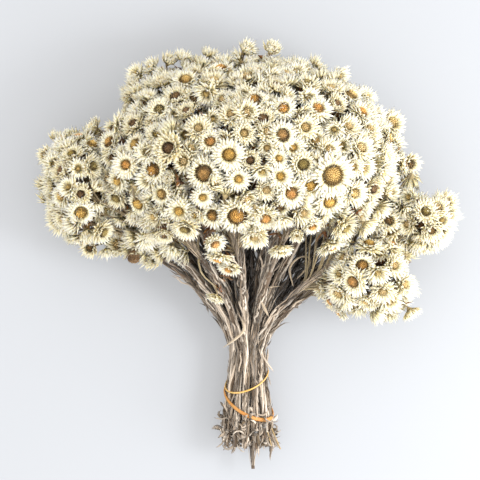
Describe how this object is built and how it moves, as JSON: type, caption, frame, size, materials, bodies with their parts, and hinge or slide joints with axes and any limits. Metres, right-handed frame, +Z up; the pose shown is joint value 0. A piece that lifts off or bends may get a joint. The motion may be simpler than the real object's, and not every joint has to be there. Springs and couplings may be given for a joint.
{
  "type": "bunch of dried daisies",
  "caption": "Bunch of dried papery everlasting daisies on leafy branching stems, tied low down with rubber bands, lying on its side.",
  "frame": {"origin": "middle of the box that holds the bunch, on the surface it lies on", "axes": "+Z up from the surface, +Y along the bunch from the cut stem ends to the flowers, +X to the right seen from above with the flowers at the far end"},
  "size_m": [0.3586, 0.3694, 0.1532],
  "materials": {
    "bracts": "dry papery cream bracts round golden to brown discs",
    "stem": "dry felted grey-brown stems with narrow shrivelled leaves",
    "orange_rubber": "matt orange rubber, slightly dusty",
    "yellow_rubber": "matt pale yellow rubber"
  },
  "bodies": {
    "root": {"stem_01": "stem", "blooms_01": "bracts", "stem_02": "stem", "blooms_02": "bracts", "stem_03": "stem", "blooms_03": "bracts", "stem_04": "stem", "blooms_04": "bracts", "stem_05": "stem", "blooms_05": "bracts", "stem_06": "stem", "blooms_06": "bracts", "stem_07": "stem", "blooms_07": "bracts", "stem_08": "stem", "blooms_08": "bracts", "stem_09": "stem", "blooms_09": "bracts", "stem_10": "stem", "blooms_10": "bracts", "stem_11": "stem", "blooms_11": "bracts", "stem_12": "stem", "blooms_12": "bracts", "stem_13": "stem", "blooms_13": "bracts", "stem_14": "stem", "blooms_14": "bracts", "stem_15": "stem", "blooms_15": "bracts", "stem_16": "stem", "blooms_16": "bracts", "stem_17": "stem", "blooms_17": "bracts", "stem_18": "stem", "blooms_18": "bracts", "stem_19": "stem", "blooms_19": "bracts", "stem_20": "stem", "blooms_20": "bracts", "stem_21": "stem", "blooms_21": "bracts", "stem_22": "stem", "blooms_22": "bracts", "stem_23": "stem", "blooms_23": "bracts", "stem_24": "stem", "blooms_24": "bracts", "stem_25": "stem", "blooms_25": "bracts", "stem_26": "stem", "blooms_26": "bracts", "orange_band": "orange_rubber", "yellow_band": "yellow_rubber"}
  },
  "joints": []
}
